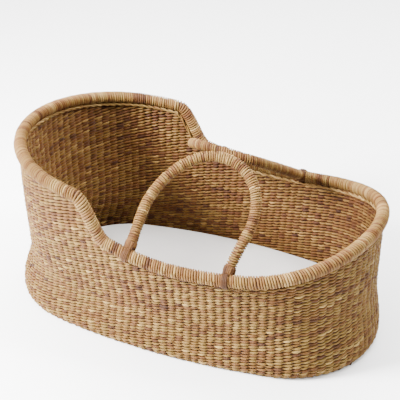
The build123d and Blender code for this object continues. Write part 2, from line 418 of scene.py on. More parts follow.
def place(
    name: str, mesh: bpy.types.Mesh, material: bpy.types.Material, body: str
) -> bpy.types.Object:
    """Put a mesh into the scene as a piece.

    Args:
        name: Name of the piece.
        mesh: Its mesh, already in the frame.
        material: Its finish.
        body: Body that it moves with.

    Returns:
        The new object.
    """
    mesh.materials.append(material)
    piece = bpy.data.objects.new(name, mesh)
    bpy.context.scene.collection.objects.link(piece)
    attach(piece, body)
    LOG.info("%s: %d faces", name, len(mesh.polygons))
    return piece


def frames(points: np.ndarray, outward: np.ndarray, closed: bool) -> tuple[np.ndarray, np.ndarray]:
    """Two directions square to a line: one near outward, and the third.

    The tangent is the central difference; across is outward less its share along the
    tangent, and upward is tangent x across.

    Args:
        points: Points of the line.
        outward: Wished direction at each point.
        closed: Whether the line joins up.

    Returns:
        The across and upward directions.
    """
    if closed:
        tangent = np.roll(points, -1, axis=0) - np.roll(points, 1, axis=0)
    else:
        tangent = np.gradient(points, axis=0)
    tangent = unit(tangent)
    across = unit(outward - (outward * tangent).sum(-1, keepdims=True) * tangent)
    return across, np.cross(tangent, across)


# --------------------------------------------------------------------------
# Finishes
# --------------------------------------------------------------------------


class NodeSheet:
    """Short way to write shader nodes and their links."""

    def __init__(self, tree: bpy.types.NodeTree) -> None:
        """Start on an emptied node tree."""
        self.tree = tree
        tree.nodes.clear()

    def add(self, kind: str, values: dict | None = None, **settings) -> bpy.types.Node:
        """Add a node.

        Args:
            kind: Node type without its ShaderNode prefix.
            values: Input name or number to a value or an output socket.
            settings: Properties of the node.

        Returns:
            The node.
        """
        node = self.tree.nodes.new(f"ShaderNode{kind}")
        for name, value in settings.items():
            setattr(node, name, value)
        for key, value in (values or {}).items():
            if isinstance(value, bpy.types.NodeSocket):
                self.tree.links.new(value, node.inputs[key])
            else:
                node.inputs[key].default_value = value
        return node

    def math(self, operation: str, first, second=0.0) -> bpy.types.NodeSocket:
        """Result of a Math node on two values or sockets."""
        return self.add("Math", {0: first, 1: second}, operation=operation).outputs[0]

    def mix(self, share, first, second, blend: str = "MIX") -> bpy.types.NodeSocket:
        """Result of a colour Mix node."""
        node = self.add("Mix", {0: share, 6: first, 7: second}, data_type="RGBA", blend_type=blend)
        return node.outputs[2]

    def ramp(self, share, stops: list[tuple[float, tuple]]) -> bpy.types.NodeSocket:
        """Colour of a Color Ramp with the given stops."""
        node = self.add("ValToRGB", {0: share})
        elements = node.color_ramp.elements
        while len(elements) < len(stops):
            elements.new(1.0)
        for element, (place_, colour) in zip(elements, stops):
            element.position = place_
            element.color = (*colour, 1.0)
        return node.outputs[0]


def group_socket(tree: bpy.types.NodeTree, name: str, way: str, kind: str, value=None) -> None:
    """Add a named socket to a node group.

    Args:
        tree: The group.
        name: Name of the socket.
        way: INPUT or OUTPUT.
        kind: Float, Vector or Color.
        value: Default of an input.
    """
    socket = tree.interface.new_socket(name, in_out=way, socket_type=f"NodeSocket{kind}")
    if value is not None:
        socket.default_value = value


def make_fibre_group() -> bpy.types.NodeTree:
    """Group with the long fibres of a dried stem, stretched along the strand.

    Returns:
        The group, with the outputs Streak and Height.
    """
    tree = bpy.data.node_groups.new("dry_grass_fibres", "ShaderNodeTree")
    group_socket(tree, "Strand", "INPUT", "Vector")
    group_socket(tree, "Tint", "INPUT", "Float", 0.5)
    group_socket(tree, "Along", "INPUT", "Float", 60.0)
    group_socket(tree, "Around", "INPUT", "Float", 7.0)
    group_socket(tree, "Streak", "OUTPUT", "Float")
    group_socket(tree, "Height", "OUTPUT", "Float")
    sheet = NodeSheet(tree)
    start = tree.nodes.new("NodeGroupInput")
    end = tree.nodes.new("NodeGroupOutput")
    parts = sheet.add("SeparateXYZ", {0: start.outputs["Strand"]})
    along = sheet.math("MULTIPLY", parts.outputs[0], start.outputs["Along"])
    turn = sheet.math("MULTIPLY", parts.outputs[1], TAU)
    round_x = sheet.math("MULTIPLY", sheet.math("COSINE", turn), start.outputs["Around"])
    round_y = sheet.math("MULTIPLY", sheet.math("SINE", turn), start.outputs["Around"])
    jump = sheet.math("MULTIPLY", start.outputs["Tint"], 37.0)
    spot = sheet.add("CombineXYZ", {0: sheet.math("ADD", along, jump), 1: round_x, 2: round_y})
    fine = sheet.add("TexNoise", {"Vector": spot.outputs[0], "Scale": 1.0, "Detail": 3.0})
    broad = sheet.add("TexNoise", {"Vector": spot.outputs[0], "Scale": 0.35, "Detail": 1.0})
    streak = sheet.math("ADD", sheet.math("MULTIPLY", fine.outputs[0], 0.7),
                        sheet.math("MULTIPLY", broad.outputs[0], 0.3))
    tree.links.new(streak, end.inputs["Streak"])
    tree.links.new(fine.outputs[0], end.inputs["Height"])
    return tree


def make_patch_group() -> bpy.types.NodeTree:
    """Group with the slow change of colour from one part of a basket to another.

    Returns:
        The group, with the outputs Green and Red, both masks.
    """
    tree = bpy.data.node_groups.new("grass_patches", "ShaderNodeTree")
    group_socket(tree, "Place", "INPUT", "Vector")
    group_socket(tree, "Scale", "INPUT", "Float", 9.0)
    group_socket(tree, "Green", "OUTPUT", "Float")
    group_socket(tree, "Red", "OUTPUT", "Float")
    sheet = NodeSheet(tree)
    start = tree.nodes.new("NodeGroupInput")
    end = tree.nodes.new("NodeGroupOutput")
    for offset, name in ((0.0, "Green"), (5.3, "Red")):
        moved = sheet.add("VectorMath", {0: start.outputs["Place"], 1: (offset, offset, offset)})
        noise = sheet.add("TexNoise", {"Vector": moved.outputs[0], "Detail": 2.0})
        tree.links.new(start.outputs["Scale"], noise.inputs["Scale"])
        mask = sheet.add("MapRange", {0: noise.outputs[0], 1: 0.5, 2: 0.72})
        tree.links.new(mask.outputs[0], end.inputs[name])
    return tree


@dataclass(frozen=True)
class GrassFinish:
    """Dried grass strand: one colour per float, long fibres, slow patches, and painted shade
    (darker, redder) where the inside mask marks the inner face.
    """

    name: str
    stops: tuple[tuple[float, tuple[float, float, float]], ...]
    # painted shade: the inner colour is multiplied in, by the share below, where the inside mask
    # marks the inner face, standing in for the shade inside the basket
    inner: tuple[float, float, float] = (0.72, 0.54, 0.43)
    inner_shade_share: float = 0.6
    streak: float = 0.45
    bump: float = 0.5
    roughness: float = 0.62

    def build(self) -> bpy.types.Material:
        """Make the material.

        Returns:
            The grass material.
        """
        material = bpy.data.materials.new(self.name)
        material.use_nodes = True
        sheet = NodeSheet(material.node_tree)
        uv = sheet.add("UVMap", uv_map="strand")
        tint = sheet.add("Attribute", attribute_name="tint").outputs["Fac"]
        inside = sheet.add("Attribute", attribute_name="inside").outputs["Fac"]
        place_ = sheet.add("TexCoord").outputs["Object"]
        fibres = sheet.add("Group", node_tree=bpy.data.node_groups["dry_grass_fibres"])
        sheet.tree.links.new(uv.outputs[0], fibres.inputs["Strand"])
        sheet.tree.links.new(tint, fibres.inputs["Tint"])
        patches = sheet.add("Group", node_tree=bpy.data.node_groups["grass_patches"])
        sheet.tree.links.new(place_, patches.inputs["Place"])
        colour = sheet.ramp(tint, list(self.stops))
        green = sheet.math("MULTIPLY", patches.outputs["Green"], 0.35)
        red = sheet.math("MULTIPLY", patches.outputs["Red"], 0.30)
        colour = sheet.mix(green, colour, (0.82, 0.90, 0.66, 1.0), "MULTIPLY")
        colour = sheet.mix(red, colour, (1.0, 0.76, 0.62, 1.0), "MULTIPLY")
        dark = sheet.add(
            "MapRange", {0: fibres.outputs["Streak"], 1: 0.35, 2: 0.62, 3: 1.0, 4: 0.0}
        )
        shade = sheet.math("MULTIPLY", dark.outputs[0], self.streak)
        colour = sheet.mix(shade, colour, (0.50, 0.34, 0.20, 1.0), "MULTIPLY")
        # painted shade: darken and redden the colour where the inside mask is set
        inner_shade_amount = sheet.math("MULTIPLY", inside, self.inner_shade_share)
        colour = sheet.mix(inner_shade_amount, colour, (*self.inner, 1.0), "MULTIPLY")
        bump = sheet.add("Bump", {"Strength": self.bump, "Distance": 0.0006,
                                  "Height": fibres.outputs["Height"]})
        rough = sheet.add("MapRange", {0: fibres.outputs["Streak"], 3: self.roughness - 0.12,
                                       4: self.roughness + 0.12})
        shader = sheet.add("BsdfPrincipled", {
            "Base Color": colour, "Roughness": rough.outputs[0], "Normal": bump.outputs[0],
            "Specular IOR Level": 0.18})
        output = sheet.add("OutputMaterial")
        sheet.tree.links.new(shader.outputs[0], output.inputs[0])
        return material


@dataclass(frozen=True)
class ClothFinish:
    """Plain woven cotton with a fine even weave and faint unevenness."""

    name: str
    colour: tuple[float, float, float]
    weave_scale: float = 1400.0
    bump: float = 0.25

    def build(self) -> bpy.types.Material:
        """Make the material.

        Returns:
            The cotton material.
        """
        material = bpy.data.materials.new(self.name)
        material.use_nodes = True
        sheet = NodeSheet(material.node_tree)
        place_ = sheet.add("TexCoord").outputs["Object"]
        warp = sheet.add("TexWave", {"Vector": place_, "Scale": self.weave_scale / TAU,
                                     "Distortion": 1.5, "Detail": 1.0}, bands_direction="X")
        weft = sheet.add("TexWave", {"Vector": place_, "Scale": self.weave_scale / TAU,
                                     "Distortion": 1.5, "Detail": 1.0}, bands_direction="Y")
        weave = sheet.math("MULTIPLY", warp.outputs["Fac"], weft.outputs["Fac"])
        cloud = sheet.add("TexNoise", {"Vector": place_, "Scale": 14.0, "Detail": 4.0})
        shade = sheet.add("MapRange", {0: cloud.outputs[0], 1: 0.3, 2: 0.7, 3: 0.94, 4: 1.0})
        low = tuple(0.93 * c for c in self.colour)
        base = sheet.mix(weave, (*low, 1.0), (*self.colour, 1.0))
        grey = sheet.add("CombineColor", {0: shade.outputs[0], 1: shade.outputs[0],
                                          2: shade.outputs[0]})
        colour = sheet.mix(1.0, base, grey.outputs[0], "MULTIPLY")
        bump = sheet.add("Bump", {"Strength": self.bump, "Distance": 0.0002, "Height": weave})
        shader = sheet.add("BsdfPrincipled", {
            "Base Color": colour, "Roughness": 0.9, "Normal": bump.outputs[0],
            "Specular IOR Level": 0.2, "Sheen Weight": 0.25, "Sheen Roughness": 0.5})
        output = sheet.add("OutputMaterial")
        sheet.tree.links.new(shader.outputs[0], output.inputs[0])
        return material


@dataclass(frozen=True)
class MetalFinish:
    """Satin metal of the zip slider, with faint wear."""

    name: str
    colour: tuple[float, float, float] = (0.62, 0.62, 0.63)
    roughness: float = 0.34

    def build(self) -> bpy.types.Material:
        """Make the material.

        Returns:
            The metal material.
        """
        material = bpy.data.materials.new(self.name)
        material.use_nodes = True
        sheet = NodeSheet(material.node_tree)
        place_ = sheet.add("TexCoord").outputs["Object"]
        wear = sheet.add("TexNoise", {"Vector": place_, "Scale": 900.0, "Detail": 3.0})
        rough = sheet.add("MapRange", {0: wear.outputs[0], 3: self.roughness - 0.08,
                                       4: self.roughness + 0.12})
        shader = sheet.add("BsdfPrincipled", {
            "Base Color": (*self.colour, 1.0), "Metallic": 1.0, "Roughness": rough.outputs[0]})
        output = sheet.add("OutputMaterial")
        sheet.tree.links.new(shader.outputs[0], output.inputs[0])
        return material


WALL_STOPS = (
    (0.00, (0.029, 0.009, 0.0018)),
    (0.18, (0.073, 0.026, 0.0047)),
    (0.40, (0.114, 0.051, 0.0096)),
    (0.62, (0.134, 0.077, 0.0146)),
    (0.82, (0.167, 0.099, 0.0242)),
    (1.00, (0.281, 0.183, 0.0585)),
)
WRAP_STOPS = (
    (0.00, (0.037, 0.012, 0.0030)),
    (0.20, (0.098, 0.038, 0.0097)),
    (0.50, (0.149, 0.074, 0.0190)),
    (0.75, (0.170, 0.102, 0.0270)),
    (1.00, (0.298, 0.185, 0.0707)),
)
STRIP_STOPS = (
    (0.00, (0.030, 0.010, 0.0020)),
    (0.50, (0.085, 0.033, 0.0065)),
    (1.00, (0.150, 0.068, 0.0160)),
)


@dataclass
class Finishes:
    """Every material of the basket, built once."""

    wall: bpy.types.Material
    wrap: bpy.types.Material
    strip: bpy.types.Material
    cotton: bpy.types.Material
    metal: bpy.types.Material

    @classmethod
    def build(cls) -> "Finishes":
        """Make the shared groups and then the materials."""
        make_fibre_group()
        make_patch_group()
        return cls(
            wall=GrassFinish("twined_grass", WALL_STOPS).build(),
            wrap=GrassFinish("wrapping_grass", WRAP_STOPS, streak=0.40).build(),
            strip=GrassFinish("lashing_strip", STRIP_STOPS, streak=0.55, bump=0.7).build(),
            cotton=ClothFinish("plain_cotton", (0.50, 0.472, 0.450)).build(),
            metal=MetalFinish("zip_metal").build(),
        )


# --------------------------------------------------------------------------
# Basket body
# --------------------------------------------------------------------------


@dataclass
class WovenWall:
    """Twined wall: in each row two strands cross between every pair of stakes."""

    form: Form
    finishes: Finishes
    stakes: int = 122
    row_pitch: float = 6.9 * MM
    first_row: float = 3.2 * MM
    swing_out: float = 2.7 * MM
    swing_up: float = 1.3 * MM
    stagger: float = 0.5
    half_thick: float = 2.0 * MM
    half_tall: float = 2.9 * MM
    steps: int = 6
    rows_per_piece: int = 9
    under_rim: float = 8 * MM

    def row_strands(self, row: int, z: float) -> list[Strand]:
        """The two strands of one row, whole or cut where the rim line is lower.

        Each strand is the wall line moved out by swing_out*cos(p) and up by
        swing_up*sin(p), where p grows by pi from one stake to the next. The second
        strand is half a wave behind the first and part of a row lower.

        Args:
            row: Number of the row.
            z: Its height.

        Returns:
            Strands, closed when the row runs all the way round.
        """
        count = self.stakes * self.steps
        middle = self.form.ring(np.arange(count) / count, z, self.form.wall / 2.0)
        under = self.form.rim_height(middle[:, 0]) - self.under_rim > z
        if under.all():
            return self.plies(row, z, np.arange(count), True)
        starts = np.flatnonzero(under & ~np.roll(under, 1))
        strands = []
        for start in starts:
            length = int(np.argmin(np.roll(under, -start)))
            if length > 2 * self.steps:
                strands += self.plies(row, z, start + np.arange(length), False)
        return strands

    def plies(self, row: int, z: float, picked: np.ndarray, whole: bool) -> list[Strand]:
        """Both strands over one stretch of a row.

        Args:
            row: Number of the row.
            z: Its height.
            picked: Numbers of the steps that the stretch covers.
            whole: Whether the stretch closes on itself.

        Returns:
            The two strands.
        """
        share = picked / (self.stakes * self.steps)
        drift = self.drift(share, row) + 0.5 * MM * (hashed(picked, row) - 0.5)
        level = z + drift
        strands = []
        for ply in (0, 1):
            phase = math.pi * (picked / self.steps + ply)
            phase = phase + 1.1 * (self.slip(picked, row, whole) - 0.5)
            out = self.swing_out * np.cos(phase)
            up = self.swing_up * np.sin(phase)
            floats = np.floor((picked / self.steps + ply + 0.5) / 2.0)
            fuller = 1.0 + 0.42 * (hashed(floats, row, ply) - 0.5)
            narrow = 0.64 + 0.36 * np.cos(phase) ** 2
            tall = self.half_tall * fuller * narrow
            lower = ply * self.stagger * self.row_pitch
            height = np.maximum(level + up - lower, tall + 0.2 * MM)
            centres = self.form.ring(share, height, self.form.wall / 2.0 - out)
            across, upward = frames(centres, self.form.outward(share, height), whole)
            own = hashed(floats, row + 3.0, ply + 1.0)
            stem = hashed(np.floor(floats / 3.0), row, ply + 4.0)
            tint = 0.5 * own + 0.5 * stem
            # painted shade: inside is 1 where the float lies on the inner face, which the finish
            # darkens and reddens
            strands.append(Strand(
                centres=centres, across=across, upward=upward,
                half_across=self.half_thick * fuller, half_upward=tall,
                closed=whole, tint=tint, inside=smooth(-out, -1 * MM, 1 * MM)))
        return strands

    def slip(self, picked: np.ndarray, row: int, whole: bool) -> np.ndarray:
        """Random 0..1 value at each stake, joined by straight lines in between."""
        places = picked / self.steps
        low = np.floor(places)
        high = np.mod(low + 1.0, self.stakes) if whole else low + 1.0
        part = places - low
        return (1.0 - part) * hashed(low, row + 11.0) + part * hashed(high, row + 11.0)

    def drift(self, share: np.ndarray, row: int) -> np.ndarray:
        """Slow rise and fall of a row, nearly the same as that of its neighbours.

        Two wanders round the basket are blended by the sine and cosine of the row
        number, and a weaker one of the row's own is added.

        Args:
            share: Shares of the way round.
            row: Number of the row.

        Returns:
            Heights to add.
        """
        slow = wander(share, 1.0) * math.sin(0.31 * row) + wander(share, 7.0) * math.cos(0.23 * row)
        return 1.3 * MM * slow + 0.35 * MM * wander(share, row * 1.7)

    def build(self) -> None:
        """Make the wall in bands of rows."""
        top = self.form.head_tip_height
        rows = int((top - self.first_row) / self.row_pitch)
        heights = self.first_row + self.row_pitch * np.arange(rows)
        for start in range(0, rows, self.rows_per_piece):
            mesh = StrandMesh(f"wall_rows_{start // self.rows_per_piece + 1}")
            for row in range(start, min(start + self.rows_per_piece, rows)):
                for strand in self.row_strands(row, float(heights[row])):
                    mesh.add(strand)
            if mesh.count:
                mesh.build(self.finishes.wall, "basket", "woven_grass")
        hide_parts("outer_wall_weave", "inner_wall_weave")


@dataclass
class WallStakes:
    """Upright bundles that the rows are twined round."""

    form: Form
    finishes: Finishes
    stakes: int = 122
    half_thick: float = 0.6 * MM
    half_wide: float = 9.3 * MM
    steps: int = 12
    foot: float = 6 * MM
    below_rim: float = 6 * MM

    def build(self) -> None:
        """Make one flattened tube for each stake, from the base to the rim."""
        mesh = StrandMesh("wall_stakes_grass")
        for index in range(self.stakes):
            share = index / self.stakes
            top = float(self.form.rim_line(np.array([share]))[0, 2]) - self.below_rim
            z = np.linspace(self.foot, top, self.steps)
            places = np.full(self.steps, share)
            centres = self.form.ring(places, z, self.form.wall / 2.0)
            across, upward = frames(centres, self.form.outward(places, z), False)
            # painted shade: a low tint and a full inside mask make the stakes dark, as if lying in
            # the shade within the wall
            tint = np.full(self.steps, 0.15 * hashed(index))
            mesh.add(Strand(
                centres=centres, across=across, upward=upward,
                half_across=np.full(self.steps, self.half_thick),
                half_upward=np.full(self.steps, self.half_wide),
                closed=False, tint=tint, inside=np.ones(self.steps), sides=8))
        piece = mesh.build(self.finishes.wall, "basket", "stake_grass")
        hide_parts("wall_stakes")


@dataclass
class WovenBase:
    """Floor of the basket: twined ovals, and straight rows in the middle."""

    form: Form
    finishes: Finishes
    row_pitch: float = 6.6 * MM
    float_length: float = 17 * MM
    level: float = 4.2 * MM
    swing_out: float = 2.0 * MM
    swing_in_plane: float = 1.3 * MM
    half_thick: float = 1.6 * MM
    half_wide: float = 2.6 * MM
    steps: int = 4
    least_end_radius: float = 9 * MM
    rib_half_wide: float = 9.3 * MM
    rib_pitch: float = 16.8 * MM

    def build(self) -> None:
        """Make the ovals from the edge inward, each moved in by one row."""
        mesh = StrandMesh("base_rows")
        length, width, radius, shift = (
            float(v) for v in self.form.sizes(np.array(self.level), np.array(0.0)))
        inset, row = 2.0 * self.half_wide, 0
        while radius - inset > self.least_end_radius:
            a, b, r = length - inset, width - inset, radius - inset
            floats = 2 * round(2.1 * (a + b) * math.pi / 4.0 / self.float_length)
            count = floats * self.steps
            share = np.arange(count) / count
            for ply in (0, 1):
                phase = math.pi * (share * floats + ply + 0.5)
                side = self.swing_in_plane * np.sin(phase)
                rise = self.level + self.swing_out * np.cos(phase)
                centres = oval_points(share, a + side, b + side, r + side, shift, rise)
                across, upward = frames(centres, np.tile([0.0, 0.0, 1.0], (count, 1)), True)
                number = np.floor((share * floats + ply) / 2.0)
                tint = 0.55 * hashed(number, row + 70.0, ply) + 0.45 * hashed(row + 70.0, ply)
                # painted shade: inside is 1 where the strand lies on the upper face, which the
                # finish darkens as the shade inside the basket
                mesh.add(Strand(
                    centres=centres, across=across, upward=upward,
                    half_across=np.full(count, self.half_thick),
                    half_upward=np.full(count, self.half_wide),
                    closed=True, tint=tint, inside=smooth(np.cos(phase), -0.3, 0.3), sides=5))
            inset += self.row_pitch
            row += 1
        self.middle_rows(mesh, length - inset, width - inset, shift)
        piece = mesh.build(self.finishes.wall, "basket", "woven_grass")
        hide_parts("base_weave")
        self.ribs(length, width, radius, shift)

    def middle_rows(self, mesh: StrandMesh, reach: float, half_width: float, shift: float) -> None:
        """Add the straight rows that fill the middle, where the ovals end.

        Args:
            mesh: Mesh of the base.
            reach: Half length of the rows.
            half_width: Half width of the gap that they fill.
            shift: Move of the base along X.
        """
        rows = round(half_width / self.row_pitch)
        count = int(2.0 * reach / self.float_length * self.steps)
        x = np.linspace(-reach, reach, count)
        for row in range(-rows, rows + 1):
            for ply in (0, 1):
                phase = math.pi * (x / self.float_length + ply + 0.5)
                y = row * self.row_pitch + self.swing_in_plane * np.sin(phase)
                z = self.level + self.swing_out * np.cos(phase)
                centres = np.stack([x + shift, y, z], axis=-1)
                across, upward = frames(centres, np.tile([0.0, 0.0, 1.0], (count, 1)), False)
                number = np.floor((x / self.float_length + ply) / 2.0)
                # painted shade: inside is 1 where the strand lies on the upper face, which the
                # finish darkens as the shade inside the basket
                mesh.add(Strand(
                    centres=centres, across=across, upward=upward,
                    half_across=np.full(count, self.half_thick),
                    half_upward=np.full(count, self.half_wide),
                    closed=False, tint=hashed(number, row + 50.0, ply),
                    inside=smooth(np.cos(phase), -0.3, 0.3), sides=5))

    def ribs(self, length: float, width: float, radius: float, shift: float) -> None:
        """Make the flat ribs across the base that its rows are twined round.

        Args:
            length: Half length of the base.
            width: Its half width.
            radius: Its end radius.
            shift: Its move along X.
        """
        edge = oval_points(np.linspace(0.0, 0.5, 801), length, width, radius, shift, 0.0)
        mesh = StrandMesh("base_ribs")
        reach = length - 2.0 * self.rib_half_wide
        for number, x in enumerate(np.arange(-reach, reach, self.rib_pitch)):
            half = float(np.interp(-x - shift, -edge[:, 0], edge[:, 1])) - 3.0 * self.half_wide
            if half < self.rib_half_wide:
                continue
            y = np.linspace(-half, half, 8)
            centres = np.stack([np.full(8, x + shift), y, np.full(8, self.level)], axis=-1)
            across, upward = frames(centres, np.tile([0.0, 0.0, 1.0], (8, 1)), False)
            # painted shade: a low tint and a full inside mask make the ribs dark, as if lying in
            # the shade under the rows
            mesh.add(Strand(
                centres=centres, across=across, upward=upward,
                half_across=np.full(8, 0.6 * MM), half_upward=np.full(8, self.rib_half_wide),
                closed=False, tint=np.full(8, 0.15 * hashed(number)), inside=np.ones(8),
                sides=8))
        mesh.build(self.finishes.wall, "basket", "stake_grass")


@dataclass
class RimStitching:
    """Pale twined row that ties the rim roll to the inner face of the wall."""

    form: Form
    finishes: Finishes
    floats: int = 122
    steps: int = 8
    swing: float = 1.7 * MM
    half_thick: float = 1.9 * MM
    below: float = 15.5 * MM
    inward: float = 5.5 * MM

    def build(self) -> None:
        """Make the two plies, which cross between every pair of stakes."""
        count = self.floats * self.steps
        share = np.arange(count) / count
        rim = self.form.rim_line(share)
        outward = self.form.outward(share, rim[:, 2])
        way = unit(np.roll(rim, -1, axis=0) - np.roll(rim, 1, axis=0))
        down = unit(np.cross(way, outward))
        down = down * -np.sign(down[:, 2:3])
        base = rim + down * self.below - outward * self.inward
        mesh = StrandMesh("rim_stitching")
        for ply in (0, 1):
            phase = math.pi * (share * self.floats + ply)
            number = np.floor((share * self.floats + ply + 0.5) / 2.0)
            centres = base - outward * (self.swing * np.cos(phase))[:, None]
            centres = centres - down * (self.swing * np.sin(phase))[:, None]
            across, upward = frames(centres, -outward, True)
            fuller = self.half_thick * (1.0 + 0.3 * (hashed(number, ply) - 0.5))
            mesh.add(Strand(
                centres=centres, across=across, upward=upward, half_across=fuller,
                half_upward=fuller, closed=True, tint=0.45 + 0.55 * hashed(number, ply + 8.0),
                inside=np.zeros(count)))
        mesh.build(self.finishes.wrap, "basket", "wrapping_grass")


@dataclass
class LooseEnds:
    """Short ends of grass that stand out of the wall here and there."""

    form: Form
    finishes: Finishes
    number: int = 90
    length: float = 13 * MM
    half_thick: float = 0.45 * MM
    steps: int = 7

    def build(self) -> None:
        """Make each end as a thin Bezier curve that tapers to its tip."""
        mesh = StrandMesh("loose_ends")
        for index in range(self.number):
            share = float(hashed(index, 1.0))
            inner = hashed(index, 2.0) > 0.6
            top = float(self.form.rim_line(np.array([share]))[0, 2]) - 25 * MM
            z = 12 * MM + (top - 12 * MM) * float(hashed(index, 3.0))
            inset = self.form.wall if inner else 0.0
            near = share + np.array([0.0, 1e-3])
            start, beside = self.form.ring(near, np.full(2, z), np.full(2, inset))
            out = self.form.outward(share, z) * (-1.0 if inner else 1.0)
            way = unit(beside - start) * (1.0 if hashed(index, 4.0) > 0.5 else -1.0)
            reach = self.length * (0.5 + float(hashed(index, 5.0)))
            rise = np.array([0.0, 0.0, float(hashed(index, 6.0)) - 0.3])
            corners = np.stack([
                start - out * 1.5 * MM, start + way * reach * 0.4 + out * 1.0 * MM,
                start + (way + 0.3 * out + 0.5 * rise) * reach])
            centres = bezier(corners, self.steps)
            across, upward = frames(centres, np.tile(out, (self.steps, 1)), False)
            taper = self.half_thick * np.linspace(1.0, 0.25, self.steps)
            # painted shade: ends on the inner face get half the inside mask, so the finish darkens
            # them
            mesh.add(Strand(
                centres=centres, across=across, upward=upward, half_across=taper,
                half_upward=taper * 1.6, closed=False,
                tint=np.full(self.steps, 0.5 + 0.5 * hashed(index, 7.0)),
                inside=np.full(self.steps, 0.5 if inner else 0.0), sides=5))
        mesh.build(self.finishes.wall, "basket", "woven_grass")


@dataclass
class WrappedRope:
    """Bundle of grass wrapped by a strand, along any line."""

    name: str
    body: str
    centres: np.ndarray
    side_way: np.ndarray
    closed: bool
    radius: float
    pitch: float
    finishes: Finishes
    nodes: tuple[str, ...]
    per_turn: int = 16
    strand_sides: int = 8
    slant: float = 0.35
    uneven: float = 1.0 * MM
    seed: float = 1.0
    flatness: float = 0.95

    def line(self, share: np.ndarray) -> tuple[np.ndarray, np.ndarray, np.ndarray]:
        """Points of the middle line and two directions square to it.

        Args:
            share: Shares of its length.

        Returns:
            Points, first and second directions.
        """
        points = np.vstack([self.centres, self.centres[:1]]) if self.closed else self.centres
        ways = np.vstack([self.side_way, self.side_way[:1]]) if self.closed else self.side_way
        steps = np.linalg.norm(np.diff(points, axis=0), axis=1)
        run = np.concatenate([[0.0], np.cumsum(steps)]) / steps.sum()
        at = np.mod(share, 1.0) if self.closed else np.clip(share, 0.0, 1.0)
        middle = np.stack([np.interp(at, run, points[:, k]) for k in range(3)], axis=-1)
        way = np.stack([np.interp(at, run, ways[:, k]) for k in range(3)], axis=-1)
        first, second = frames(middle, way, False)
        return middle, first, second

    def length(self) -> float:
        """Length of the middle line."""
        points = np.vstack([self.centres, self.centres[:1]]) if self.closed else self.centres
        return float(np.linalg.norm(np.diff(points, axis=0), axis=1).sum())

    def wrapping(self) -> Strand:
        """The wrapping strand: a helix round the middle line.

        The point is middle + R*(first*cos(t) + second*sin(t)), where t grows by one
        turn per pitch and R wanders a little from turn to turn.

        Returns:
            The strand.
        """
        turns = round(self.length() / self.pitch)
        count = turns * self.per_turn
        share = np.arange(count) / count
        middle, first, second = self.line(share)
        angle = TAU * turns * share
        half = self.pitch * 0.5
        number = np.floor(share * turns)
        loose = self.uneven * (hashed(number, self.seed) - 0.7)
        loose = np.interp(share * turns, np.unique(number) + 0.5, loose[::self.per_turn])
        reach = self.radius - self.flatness * half + loose
        out = first * np.cos(angle)[:, None] + second * np.sin(angle)[:, None]
        tangent = unit(np.gradient(middle, axis=0))
        lean = self.slant * np.cos(angle) * self.pitch + 0.25 * self.pitch * wander(
            share * 7.0, self.seed)
        centres = middle + out * reach[:, None] + tangent * lean[:, None]
        across, upward = frames(centres, out, False)
        run_tint = hashed(np.floor(number / 7.0), self.seed)
        tint = 0.65 * hashed(number, self.seed + 5.0) + 0.35 * run_tint
        return Strand(
            centres=centres, across=across, upward=upward,
            half_across=np.full(count, half * self.flatness),
            half_upward=half * (0.80 + 0.26 * (hashed(number, self.seed + 2.0) - 0.5)),
            closed=self.closed, tint=tint, inside=np.zeros(count), sides=self.strand_sides)

    def build(self, slot: str = "wrapping_grass") -> None:
        """Make the wrapping and the bundle inside it.

        Args:
            slot: Name handed on to the mesh build.
        """
        mesh = StrandMesh(f"{self.name}_wrap")
        mesh.add(self.wrapping())
        piece = mesh.build(self.finishes.wrap, self.body, slot)
        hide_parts(*self.nodes[:1])
        core = StrandMesh(f"{self.name}_bundle")
        count = len(self.centres)
        middle, first, second = self.line(np.arange(count) / (count if self.closed else count - 1))
        # painted shade: the bundle is made dark (low tint, full inside mask) so the gaps between
        # the wraps show as shaded
        reach = np.full(count, self.radius - self.pitch * 0.80)
        core.add(Strand(
            centres=middle, across=first, upward=second, half_across=reach, half_upward=reach,
            closed=self.closed, tint=np.full(count, 0.1), inside=np.ones(count), sides=16))
        core_piece = core.build(self.finishes.wall, self.body, "stake_grass")
        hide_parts(*self.nodes[1:])


